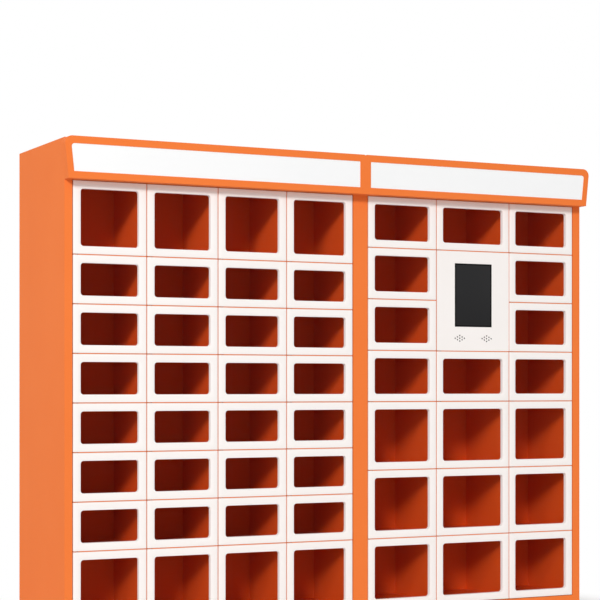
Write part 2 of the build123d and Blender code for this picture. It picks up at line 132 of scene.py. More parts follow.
@dataclass(frozen=True)
class PowderCoat:
    """Sprayed and baked polyester powder on steel sheet: satin, with a faint orange-peel skin."""

    name: str
    colour: str
    shade: str
    # The inside colour is painted shade: a deeper red where the compartments lie in shade.
    inside: str | None = None
    roughness: float = 0.5
    specular: float = 0.04
    peel_mm: float = 7.0
    cloud_mm: float = 260.0
    peel_height: float = 0.05
    peel_depth_mm: float = 0.3
    skin_mm: float = 2.0
    before_strike_end_mm: float = 15.0
    gloss_spread: tuple[float, float] = (-0.05, 0.07)
    ior: float = 1.5

    def painted_shade_mask(self, tree: bpy.types.NodeTree,
                    place: bpy.types.NodeSocket) -> bpy.types.NodeSocket:
        """Where the compartments' painted shade goes: whether a point lies within the cabinets, behind
        the face of the door frames.

        Args:
            tree: The material's tree.
            place: Object coordinates.

        Returns:
            A factor of 0 or 1.
        """
        low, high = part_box("aux_cabinet")
        _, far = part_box("main_cabinet")
        _, strike_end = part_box("aux_door_r1c1")
        skin_m = self.skin_mm * MM
        # A strike ends 16 mm behind the frame's face, so this starts just behind that face.
        axes = add_node(tree, "ShaderNodeSeparateXYZ", {}, {"Vector": place})
        limits = (
            ("X", "GREATER_THAN", low.x + skin_m), ("X", "LESS_THAN", far.x - skin_m),
            ("Y", "GREATER_THAN", strike_end.y - self.before_strike_end_mm * MM),
            ("Y", "LESS_THAN", high.y - skin_m), ("Z", "LESS_THAN", high.z - skin_m),
        )
        factor = None
        for axis, way, limit in limits:
            test = add_node(tree, "ShaderNodeMath", {"operation": way}, {
                0: axes.outputs[axis], 1: limit,
            }).outputs[0]
            if factor is None:
                factor = test
            else:
                factor = add_node(tree, "ShaderNodeMath", {"operation": "MULTIPLY"}, {
                    0: factor, 1: test,
                }).outputs[0]
        return factor

    def make(self) -> bpy.types.Material:
        """Builds the material.

        The real skin's grain is about 2 mm, too fine for the picture, so it is drawn at peel_mm.

        Returns:
            The material.
        """
        material, tree = new_material(self.name)
        place = add_node(tree, "ShaderNodeTexCoord").outputs["Object"]
        clouds = add_node(tree, "ShaderNodeTexNoise", {}, {
            "Vector": place, "Scale": 1 / (self.cloud_mm * MM), "Detail": 2.0, "Roughness": 0.5,
        })
        tone = add_node(tree, "ShaderNodeMix", {"data_type": "RGBA"}, {
            "Factor": clouds.outputs["Fac"], 6: linear(self.colour), 7: linear(self.shade),
        })
        paint = tone.outputs[2]
        # Painted shade: within the cabinets the colour is swapped for the deeper red inside colour.
        if self.inside:
            paint = add_node(tree, "ShaderNodeMix", {"data_type": "RGBA"}, {
                "Factor": self.painted_shade_mask(tree, place), 6: paint, 7: linear(self.inside),
            }).outputs[2]
        peel = add_node(tree, "ShaderNodeTexNoise", {}, {
            "Vector": place, "Scale": 1 / (self.peel_mm * MM), "Detail": 1.0,
        })
        sheen = add_node(tree, "ShaderNodeMapRange", {}, {
            "Value": peel.outputs["Fac"], "To Min": self.roughness + self.gloss_spread[0],
            "To Max": self.roughness + self.gloss_spread[1],
        })
        bump = add_node(tree, "ShaderNodeBump", {}, {
            "Height": peel.outputs["Fac"], "Strength": self.peel_height,
            "Distance": self.peel_depth_mm * MM,
        })
        shader = add_node(tree, "ShaderNodeBsdfPrincipled", {}, {
            "Base Color": paint, "Roughness": sheen.outputs["Result"],
            "Normal": bump.outputs["Normal"],
        })
        shader.inputs["IOR"].default_value = self.ior
        shader.inputs["Specular IOR Level"].default_value = self.specular
        add_node(tree, "ShaderNodeOutputMaterial", {}, {"Surface": shader.outputs["BSDF"]})
        return material


@dataclass(frozen=True)
class Plastic:
    """Moulded or cast plastic with a fine grain that varies its gloss."""

    name: str
    colour: str
    shade: str
    roughness: float
    grain_mm: float
    coat: float = 0.0
    specular: float = 0.5
    gloss_spread: tuple[float, float] = (-0.04, 0.06)
    ior: float = 1.49

    def make(self) -> bpy.types.Material:
        """Builds the material.

        Returns:
            The material.
        """
        material, tree = new_material(self.name)
        place = add_node(tree, "ShaderNodeTexCoord").outputs["Object"]
        grain = add_node(tree, "ShaderNodeTexNoise", {}, {
            "Vector": place, "Scale": 1 / (self.grain_mm * MM), "Detail": 3.0,
        })
        tone = add_node(tree, "ShaderNodeMix", {"data_type": "RGBA"}, {
            "Factor": grain.outputs["Fac"], 6: linear(self.colour), 7: linear(self.shade),
        })
        gloss = add_node(tree, "ShaderNodeMapRange", {}, {
            "Value": grain.outputs["Fac"], "To Min": self.roughness + self.gloss_spread[0],
            "To Max": self.roughness + self.gloss_spread[1],
        })
        shader = add_node(tree, "ShaderNodeBsdfPrincipled", {}, {
            "Base Color": tone.outputs[2], "Roughness": gloss.outputs["Result"],
        })
        shader.inputs["IOR"].default_value = self.ior
        shader.inputs["Coat Weight"].default_value = self.coat
        shader.inputs["Specular IOR Level"].default_value = self.specular
        add_node(tree, "ShaderNodeOutputMaterial", {}, {"Surface": shader.outputs["BSDF"]})
        return material


@dataclass(frozen=True)
class ClearAcrylic:
    """Cast acrylic sheet, polished and clear, so the compartment shows through it."""

    name: str = "clear_cast_acrylic"
    colour: str = "#202222"
    opacity: float = 0.03
    roughness: float = 0.04
    smear_mm: float = 90.0
    haze_spread: float = 0.05
    ior: float = 1.49

    def make(self) -> bpy.types.Material:
        """Builds the material.

        Returns:
            The material.
        """
        material, tree = new_material(self.name)
        place = add_node(tree, "ShaderNodeTexCoord").outputs["Object"]
        smears = add_node(tree, "ShaderNodeTexNoise", {}, {
            "Vector": place, "Scale": 1 / (self.smear_mm * MM), "Detail": 4.0,
        })
        haze = add_node(tree, "ShaderNodeMapRange", {}, {
            "Value": smears.outputs["Fac"], "To Min": self.roughness,
            "To Max": self.roughness + self.haze_spread,
        })
        shader = add_node(tree, "ShaderNodeBsdfPrincipled", {}, {
            "Base Color": linear(self.colour), "Roughness": haze.outputs["Result"],
        })
        shader.inputs["IOR"].default_value = self.ior
        shader.inputs["Alpha"].default_value = self.opacity
        add_node(tree, "ShaderNodeOutputMaterial", {}, {"Surface": shader.outputs["BSDF"]})
        return material


@dataclass(frozen=True)
class ZincPlate:
    """Bright zinc plating on pressed steel, with the faint cloudiness of its passivation."""

    name: str = "zinc_plated_steel"
    colour: str = "#c9ccd0"
    shade: str = "#a9adb3"
    roughness: float = 0.32
    cloud_mm: float = 12.0
    gloss_spread: tuple[float, float] = (-0.06, 0.1)

    def make(self) -> bpy.types.Material:
        """Builds the material.

        Returns:
            The material.
        """
        material, tree = new_material(self.name)
        place = add_node(tree, "ShaderNodeTexCoord").outputs["Object"]
        clouds = add_node(tree, "ShaderNodeTexNoise", {}, {
            "Vector": place, "Scale": 1 / (self.cloud_mm * MM), "Detail": 4.0,
        })
        tone = add_node(tree, "ShaderNodeMix", {"data_type": "RGBA"}, {
            "Factor": clouds.outputs["Fac"], 6: linear(self.colour), 7: linear(self.shade),
        })
        gloss = add_node(tree, "ShaderNodeMapRange", {}, {
            "Value": clouds.outputs["Fac"], "To Min": self.roughness + self.gloss_spread[0],
            "To Max": self.roughness + self.gloss_spread[1],
        })
        shader = add_node(tree, "ShaderNodeBsdfPrincipled", {}, {
            "Base Color": tone.outputs[2], "Roughness": gloss.outputs["Result"],
        })
        shader.inputs["Metallic"].default_value = 1.0
        add_node(tree, "ShaderNodeOutputMaterial", {}, {"Surface": shader.outputs["BSDF"]})
        return material


class Finishes:
    """Every finish of the locker, made once."""

    def __init__(self) -> None:
        """Makes the materials."""
        # Satin orange steel, with painted shade: a deeper red inside the compartments, where shade
        # falls.
        self.orange = PowderCoat("orange_powder_coat_and_painted_shade", "#f5813f", "#f17b3a", "#e4581c").make()
        # Satin white leaves that read warm against the orange.
        self.white = PowderCoat("white_powder_coat", "#fbf6f3", "#f7f2ee").make()
        # A flat, even white with a soft sheen.
        self.sign = Plastic("opal_acrylic_sign", "#fafafa", "#f5f6f6", 0.3, 400.0).make()
        # Nearly unseen panes, so the compartments show through.
        self.pane = ClearAcrylic().make()
        # Cool bright metal with cloudy patches.
        self.zinc = ZincPlate().make()
        # Matt dark plastic with a fine grain.
        self.housing = Plastic("black_moulded_abs", "#26272a", "#1d1e20", 0.5, 1.5).make()
        # A display that is off: a dark grey, a little lighter than its border.
        self.display = Plastic(
            "unlit_display_glass", "#232324", "#212122", 0.35, 300.0, specular=0.15
        ).make()
        # The deepest black, so the border frames the display.
        self.bezel = Plastic(
            "black_printed_glass", "#050506", "#070708", 0.3, 300.0, specular=0.1
        ).make()
        # Dull black that takes no highlight.
        self.rubber = Plastic("black_epdm_rubber", "#1a1a1b", "#141415", 0.75, 2.0).make()


def rounded_loop(x0: float, x1: float, z0: float, z1: float, radius: float,
                 steps: int) -> list[tuple[float, float]]:
    """Points round a rectangle with rounded corners, anticlockwise from the lower right corner.

    Args:
        x0: Left.
        x1: Right.
        z0: Bottom.
        z1: Top.
        radius: Corner radius.
        steps: Segments in each corner.

    Returns:
        X and Z of each point.
    """
    corners = (
        (x1 - radius, z0 + radius, -90), (x1 - radius, z1 - radius, 0),
        (x0 + radius, z1 - radius, 90), (x0 + radius, z0 + radius, 180),
    )
    points = []
    for cx, cz, start in corners:
        for n in range(steps + 1):
            turn = math.radians(start + 90 * n / steps)
            points.append((cx + radius * math.cos(turn), cz + radius * math.sin(turn)))
    return points


def skin(rings: list[list[Vector]], closed: bool = False) -> bmesh.types.BMesh:
    """Joins rings of points, each closed round, with strips of faces.

    Args:
        rings: The rings, all with as many points.
        closed: Whether the last ring joins the first.

    Returns:
        The mesh being built.
    """
    mesh = bmesh.new()
    rows = [[mesh.verts.new(point) for point in ring] for ring in rings]
    pairs = list(zip(rows, rows[1:]))
    if closed:
        pairs.append((rows[-1], rows[0]))
    for a, b in pairs:
        for n in range(len(a)):
            m = (n + 1) % len(a)
            mesh.faces.new((a[n], a[m], b[m], b[n]))
    return mesh


def finished(mesh: bmesh.types.BMesh, name: str, sharp_deg: float = 35.0) -> bpy.types.Mesh:
    """Turns the mesh being built to mesh data with outward faces and smooth folds.

    Args:
        mesh: The mesh being built, which is freed.
        name: The data's name.
        sharp_deg: Edges that turn more than this stay sharp.

    Returns:
        The mesh data.
    """
    bmesh.ops.remove_doubles(mesh, verts=mesh.verts, dist=WELD)
    bmesh.ops.recalc_face_normals(mesh, faces=mesh.faces)
    data = bpy.data.meshes.new(name)
    mesh.to_mesh(data)
    mesh.free()
    data.shade_smooth()
    data.set_sharp_from_angle(angle=math.radians(sharp_deg))
    return data


def evaluated(obj: bpy.types.Object, name: str) -> bpy.types.Mesh:
    """Turns an object with live modifiers to plain mesh data, and removes the object.

    Args:
        obj: The object.
        name: The data's name.

    Returns:
        The mesh data.
    """
    bpy.context.view_layer.update()
    graph = bpy.context.evaluated_depsgraph_get()
    data = bpy.data.meshes.new_from_object(obj.evaluated_get(graph))
    data.name = name
    bpy.data.objects.remove(obj)
    return data


def link(name: str, data: bpy.types.Mesh) -> bpy.types.Object:
    """Adds an object at the origin that shows the mesh data.

    Args:
        name: The object's name.
        data: Its mesh.

    Returns:
        The object.
    """
    obj = bpy.data.objects.new(name, data)
    bpy.context.scene.collection.objects.link(obj)
    return obj


def moved(data: bpy.types.Mesh, name: str, offset: Vector) -> bpy.types.Mesh:
    """A copy of mesh data, with its place in its mesh.

    Args:
        data: What is copied.
        name: The copy's name.
        offset: Where it goes.

    Returns:
        The copy.
    """
    copy = data.copy()
    copy.name = name
    copy.transform(Matrix.Translation(offset))
    return copy


def piece(name: str, data: bpy.types.Mesh, material: bpy.types.Material,
          body: str) -> bpy.types.Object:
    """Adds a finished piece and lets it ride on its body.

    Args:
        name: The piece's name.
        data: Its mesh.
        material: Its finish.
        body: The body's name.

    Returns:
        The piece.
    """
    obj = link(name, data)
    data.materials.clear()
    data.materials.append(material)
    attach(obj, body)
    LOG.info("%s rides on %s", name, body)
    return obj


def bevelled_box(size: Vector, radius: float, steps: int = 2) -> bmesh.types.BMesh:
    """A box about the origin with rounded edges.

    Args:
        size: Its extents.
        radius: The edges' radius.
        steps: Segments in each edge.

    Returns:
        The mesh being built.
    """
    mesh = bmesh.new()
    bmesh.ops.create_cube(mesh, size=1.0)
    bmesh.ops.scale(mesh, vec=size, verts=mesh.verts)
    bmesh.ops.bevel(
        mesh, geom=list(mesh.edges), offset=radius, segments=steps, affect="EDGES", profile=0.5
    )
    return mesh


def box_at(low: Vector, high: Vector, radius: float) -> bmesh.types.BMesh:
    """A box with rounded edges between two corners.

    Args:
        low: The lower corner.
        high: The upper corner.
        radius: The edges' radius.

    Returns:
        The mesh being built.
    """
    mesh = bevelled_box(high - low, radius)
    bmesh.ops.translate(mesh, vec=(low + high) / 2, verts=mesh.verts)
    return mesh


def join(meshes: list[bmesh.types.BMesh]) -> bmesh.types.BMesh:
    """Puts several meshes into one, and frees them.

    Args:
        meshes: The meshes being built.

    Returns:
        The whole.
    """
    whole = bmesh.new()
    for mesh in meshes:
        data = bpy.data.meshes.new("part")
        mesh.to_mesh(data)
        mesh.free()
        whole.from_mesh(data)
        bpy.data.meshes.remove(data)
    return whole


def lathe(profile: list[tuple[float, float]], centre: Vector, steps: int) -> bmesh.types.BMesh:
    """Turns a profile round an axis along Y.

    Args:
        profile: Radius and Y of each point, from the axis back to the axis.
        centre: The axis's place.
        steps: Segments round.

    Returns:
        The mesh being built.
    """
    rings = []
    for radius, y in profile:
        ring = []
        for n in range(steps):
            turn = 2 * math.pi * n / steps
            spoke = Vector((radius * math.cos(turn), y, radius * math.sin(turn)))
            ring.append(centre + spoke)
        rings.append(ring)
    mesh = skin(rings)
    mesh.verts.ensure_lookup_table()
    first = mesh.verts[:steps]
    last = mesh.verts[-steps:]
    mesh.faces.new(first)
    mesh.faces.new(last)
    return mesh


class NodeTool:
    """Geometry node trees for what repeats or follows a path."""

    BAR_SIZE = "bar_size"
    SECTION_SIDES = 8
    RING_STEPS = 16

    @staticmethod
    def start(name: str, sizes: dict[str, float]) -> tuple[bpy.types.NodeTree, bpy.types.Node]:
        """Starts a tree with a geometry input, a material input and named sizes.

        Args:
            name: The tree's name.
            sizes: Names of its sizes, with their values.

        Returns:
            The tree and its input node.
        """
        tree = bpy.data.node_groups.new(name, "GeometryNodeTree")
        face = tree.interface
        face.new_socket("Geometry", in_out="INPUT", socket_type="NodeSocketGeometry")
        face.new_socket("Material", in_out="INPUT", socket_type="NodeSocketMaterial")
        for label, value in sizes.items():
            socket = face.new_socket(label, in_out="INPUT", socket_type="NodeSocketFloat")
            socket.default_value = value
        face.new_socket("Geometry", in_out="OUTPUT", socket_type="NodeSocketGeometry")
        return tree, add_node(tree, "NodeGroupInput")

    @staticmethod
    def end(tree: bpy.types.NodeTree, source: bpy.types.Node, made: bpy.types.NodeSocket) -> None:
        """Ends a tree in Realize Instances and Set Material.

        Args:
            tree: The tree.
            source: Its input node.
            made: The geometry that it has made.
        """
        real = add_node(tree, "GeometryNodeRealizeInstances", {}, {"Geometry": made})
        dressed = add_node(tree, "GeometryNodeSetMaterial", {}, {
            "Geometry": real.outputs["Geometry"], "Material": source.outputs["Material"],
        })
        add_node(tree, "NodeGroupOutput", {}, {"Geometry": dressed.outputs["Geometry"]})

    @staticmethod
    def bead() -> bpy.types.NodeTree:
        """A round bead that follows the edges of a loop.

        Returns:
            The tree.
        """
        tree, source = NodeTool.start("bead_along_loop", {"Bead Radius": 1.5 * MM})
        path = add_node(tree, "GeometryNodeMeshToCurve", {}, {"Mesh": source.outputs["Geometry"]})
        section = add_node(tree, "GeometryNodeCurvePrimitiveCircle", {}, {
            "Resolution": NodeTool.SECTION_SIDES, "Radius": source.outputs["Bead Radius"],
        })
        swept = add_node(tree, "GeometryNodeCurveToMesh", {}, {
            "Curve": path.outputs["Curve"], "Profile Curve": section.outputs["Curve"],
        })
        NodeTool.end(tree, source, swept.outputs["Mesh"])
        return tree

    @staticmethod
    def rings() -> bpy.types.NodeTree:
        """A round ring on each point, its axis along Y.

        Returns:
            The tree.
        """
        sizes = {"Ring Radius": 2.5 * MM, "Wire Radius": 0.4 * MM}
        tree, source = NodeTool.start("rings_on_points", sizes)
        points = add_node(tree, "GeometryNodeMeshToPoints", {}, {
            "Mesh": source.outputs["Geometry"],
        })
        round_path = add_node(tree, "GeometryNodeCurvePrimitiveCircle", {}, {
            "Resolution": NodeTool.RING_STEPS, "Radius": source.outputs["Ring Radius"],
        })
        wire = add_node(tree, "GeometryNodeCurvePrimitiveCircle", {}, {
            "Resolution": NodeTool.SECTION_SIDES, "Radius": source.outputs["Wire Radius"],
        })
        ring = add_node(tree, "GeometryNodeCurveToMesh", {}, {
            "Curve": round_path.outputs["Curve"], "Profile Curve": wire.outputs["Curve"],
        })
        placed = add_node(tree, "GeometryNodeInstanceOnPoints", {}, {
            "Points": points.outputs["Points"], "Instance": ring.outputs["Mesh"],
            "Rotation": (math.radians(90), 0.0, 0.0),
        })
        NodeTool.end(tree, source, placed.outputs["Instances"])
        return tree

    @staticmethod
    def bars() -> bpy.types.NodeTree:
        """A straight bar on each point, as long, deep and high as the point's own size.

        Returns:
            The tree.
        """
        tree, source = NodeTool.start("bars_on_points", {})
        points = add_node(tree, "GeometryNodeMeshToPoints", {}, {
            "Mesh": source.outputs["Geometry"],
        })
        cube = add_node(tree, "GeometryNodeMeshCube", {}, {"Size": (1.0, 1.0, 1.0)})
        size = add_node(tree, "GeometryNodeInputNamedAttribute", {"data_type": "FLOAT_VECTOR"}, {
            "Name": NodeTool.BAR_SIZE,
        })
        placed = add_node(tree, "GeometryNodeInstanceOnPoints", {}, {
            "Points": points.outputs["Points"], "Instance": cube.outputs["Mesh"],
            "Scale": size.outputs["Attribute"],
        })
        NodeTool.end(tree, source, placed.outputs["Instances"])
        return tree

    @staticmethod
    def points(places: list[Vector], name: str, sizes: list[Vector] | None = None) -> bpy.types.Mesh:
        """Loose points for a tree to work on.

        Args:
            places: Where they are.
            name: The data's name.
            sizes: A size for each point, where the tree needs one.

        Returns:
            The mesh data.
        """
        data = bpy.data.meshes.new(name)
        data.from_pydata([tuple(place) for place in places], [], [])
        if sizes:
            layer = data.attributes.new(NodeTool.BAR_SIZE, "FLOAT_VECTOR", "POINT")
            for slot, size in zip(layer.data, sizes):
                slot.vector = size
        return data

    @staticmethod
    def apply(data: bpy.types.Mesh, tree: bpy.types.NodeTree, material: bpy.types.Material,
              sizes: dict[str, float], name: str) -> bpy.types.Mesh:
        """Runs a tree on mesh data.

        Args:
            data: The mesh it starts from.
            tree: The tree.
            material: What its result is dressed with.
            sizes: Its sizes by name.
            name: The result's name.

        Returns:
            Plain mesh data.
        """
        carrier = link(name + "_carrier", data)
        modifier = carrier.modifiers.new("nodes", "NODES")
        modifier.node_group = tree
        sockets = {s.name: s.identifier for s in tree.interface.items_tree if s.in_out == "INPUT"}
        modifier[sockets["Material"]] = material
        for label, value in sizes.items():
            modifier[sockets[label]] = value
        result = evaluated(carrier, name)
        mesh = bmesh.new()
        mesh.from_mesh(result)
        bpy.data.meshes.remove(result)
        return finished(mesh, name)


@dataclass
class FoodDoor:
    """A food door's leaf: folded frame, clear pane, rubber bead and strike plate."""

    finishes: Finishes
    bead_tree: bpy.types.NodeTree
    sheet: float = 1.2 * MM
    depth: float = 20.0 * MM
    margin: float = 32.0 * MM
    fold: float = 1.6 * MM
    fold_steps: int = 3
    corner: float = 2.0 * MM
    least_corner: float = 0.3 * MM
    window_corner: float = 13.0 * MM
    pane_thickness: float = 3.0 * MM
    pane_lap: float = 8.0 * MM
    pane_chamfer: float = 0.4 * MM
    bead: float = 1.4 * MM
    strike_offset: float = 6.0 * MM
    strike_size: tuple[float, float] = (3.0 * MM, 14.0 * MM)
    strike_foot: float = 9.0 * MM
    strike_edge: float = 0.5 * MM
    pin_inset: float = 10.0 * MM
    pin_setback: float = 6.0 * MM
    pin_hole_radius: float = 2.6 * MM
    drill_sheets: int = 6
    drill_sides: int = 16
    steps: int = 6
    cache: dict = field(default_factory=dict)

    def frame_mesh(self, width: float, height: float) -> bpy.types.Mesh:
        """The leaf's folded sheet, its lower left front corner at the origin.

        Args:
            width: The leaf's width.
            height: The leaf's height.

        Returns:
            The mesh data.
        """
        rings = []

        def outer(inset: float, y: float) -> list[Vector]:
            """A ring near the leaf's outer edge.

            Args:
                inset: How far in from the edge it lies.
                y: How far back it lies.

            Returns:
                Its points.
            """
            radius = max(self.corner - inset, self.least_corner)
            loop = rounded_loop(inset, width - inset, inset, height - inset, radius, self.steps)
            return [Vector((x, y, z)) for x, z in loop]

        def inner(outset: float, y: float) -> list[Vector]:
            """A ring near the window's edge.

            Args:
                outset: How far out from the window's edge it lies.
                y: How far back it lies.

            Returns:
                Its points.
            """
            edge = self.margin - outset
            radius = self.window_corner + outset
            loop = rounded_loop(edge, width - edge, edge, height - edge, radius, self.steps)
            return [Vector((x, y, z)) for x, z in loop]

        rings.append(outer(0, self.depth))
        for n in range(self.fold_steps + 1):
            turn = math.pi / 2 * n / self.fold_steps
            rings.append(outer(self.fold * (1 - math.cos(turn)), self.fold * (1 - math.sin(turn))))
        for n in range(self.fold_steps + 1):
            turn = math.pi / 2 * (1 - n / self.fold_steps)
            rings.append(inner(self.fold * (1 - math.cos(turn)), self.fold * (1 - math.sin(turn))))
        rings.append(inner(0, self.depth))
        data = finished(skin(rings), "leaf_sheet")
        carrier = link("leaf_carrier", data)
        wall = carrier.modifiers.new("wall", "SOLIDIFY")
        wall.thickness = self.sheet
        wall.offset = -1.0
        wall.use_even_offset = True
        drill = link("leaf_pin_holes", self.drill_mesh(height))
        holes = carrier.modifiers.new("pin_holes", "BOOLEAN")
        holes.operation = "DIFFERENCE"
        holes.solver = "EXACT"
        holes.object = drill
        solid = evaluated(carrier, "leaf_frame")
        bpy.data.objects.remove(drill)
        mesh = bmesh.new()
        mesh.from_mesh(solid)
        bpy.data.meshes.remove(solid)
        return finished(mesh, "leaf_frame")

    def drill_mesh(self, height: float) -> bpy.types.Mesh:
        """Two short upright rods where the hinge pins pass through the leaf's returns.

        Args:
            height: The leaf's height.

        Returns:
            The mesh data.
        """
        mesh = bmesh.new()
        for z in (0.0, height):
            bmesh.ops.create_cone(
                mesh, cap_ends=True, segments=self.drill_sides, radius1=self.pin_hole_radius,
                radius2=self.pin_hole_radius, depth=self.drill_sheets * self.sheet,
                matrix=Matrix.Translation((self.pin_inset, self.pin_setback, z)),
            )
        return finished(mesh, "pin_drill")

    def pane_mesh(self, width: float, height: float) -> bpy.types.Mesh:
        """The clear pane behind the window's returns.

        Args:
            width: The leaf's width.
            height: The leaf's height.

        Returns:
            The mesh data.
        """
        edge = self.margin - self.pane_lap
        chamfer = self.pane_chamfer
        front = self.depth
        back = self.depth + self.pane_thickness
        rings = []
        for inset, y in ((chamfer, front), (0, front + chamfer), (0, back - chamfer), (chamfer, back)):
            e = edge + inset
            radius = self.window_corner + self.pane_lap - inset
            loop = rounded_loop(e, width - e, e, height - e, radius, self.steps)
            rings.append([Vector((x, y, z)) for x, z in loop])
        mesh = skin(rings)
        mesh.verts.ensure_lookup_table()
        count = len(rings[0])
        mesh.faces.new(mesh.verts[:count])
        mesh.faces.new(mesh.verts[-count:])
        return finished(mesh, "window_pane")

    def bead_mesh(self, width: float, height: float) -> bpy.types.Mesh:
        """The rubber bead round the pane's edge, made with geometry nodes.

        Args:
            width: The leaf's width.
            height: The leaf's height.

        Returns:
            The mesh data.
        """
        edge = self.margin - self.pane_lap - self.bead
        radius = self.window_corner + self.pane_lap
        y = self.depth + self.pane_thickness - self.bead
        mesh = bmesh.new()
        loop = rounded_loop(edge, width - edge, edge, height - edge, radius, self.steps)
        points = [mesh.verts.new((x, y, z)) for x, z in loop]
        for n, point in enumerate(points):
            mesh.edges.new((point, points[(n + 1) % len(points)]))
        data = bpy.data.meshes.new("bead_path")
        mesh.to_mesh(data)
        mesh.free()
        sizes = {"Bead Radius": self.bead}
        return NodeTool.apply(data, self.bead_tree, self.finishes.rubber, sizes, "window_bead")

    def strike_mesh(self, width: float, height: float, reach: float) -> bpy.types.Mesh:
        """The strike plate, its foot on the leaf's front sheet.

        Args:
            width: The leaf's width.
            height: The leaf's height.
            reach: How far back its end lies.

        Returns:
            The mesh data.
        """
        thick, tall = self.strike_size
        x = width - self.strike_offset
        z0 = height / 2 - tall / 2
        z1 = height / 2 + tall / 2
        blade = box_at(
            Vector((x - thick / 2, self.sheet, z0)), Vector((x + thick / 2, reach, z1)),
            self.strike_edge,
        )
        foot = box_at(
            Vector((x - thick / 2 - self.strike_foot, self.sheet, z0)),
            Vector((x - thick / 2, self.sheet + thick, z1)), self.strike_edge,
        )
        return finished(join([blade, foot]), "strike_plate")

    def kinds(self, width: float, height: float, reach: float) -> dict[str, bpy.types.Mesh]:
        """The four meshes of a leaf of one size, made once.

        Args:
            width: The leaf's width.
            height: The leaf's height.
            reach: How far back the strike plate's end lies.

        Returns:
            The meshes by kind.
        """
        key = (round(width / MM), round(height / MM))
        if key not in self.cache:
            self.cache[key] = {
                "frame": self.frame_mesh(width, height),
                "pane": self.pane_mesh(width, height),
                "bead": self.bead_mesh(width, height),
                "strike": self.strike_mesh(width, height, reach),
            }
        return self.cache[key]

    def dress(self, node: str, body: str) -> None:
        """Replaces one door node with its four pieces.

        Args:
            node: The door's node.
            body: The leaf's body.
        """
        low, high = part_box(node)
        kinds = self.kinds(high.x - low.x, high.z - low.z, high.y - low.y)
        looks = {
            "frame": (self.finishes.white, Slot.WHITE), "pane": (self.finishes.pane, Slot.PANE),
            "bead": (self.finishes.rubber, Slot.RUBBER), "strike": (self.finishes.zinc, Slot.ZINC),
        }
        for kind, data in kinds.items():
            name = f"{node}_{kind}"
            material, slot = looks[kind]
            made = piece(name, moved(data, name, low), material, body)
            if kind == "frame":
                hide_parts(node)


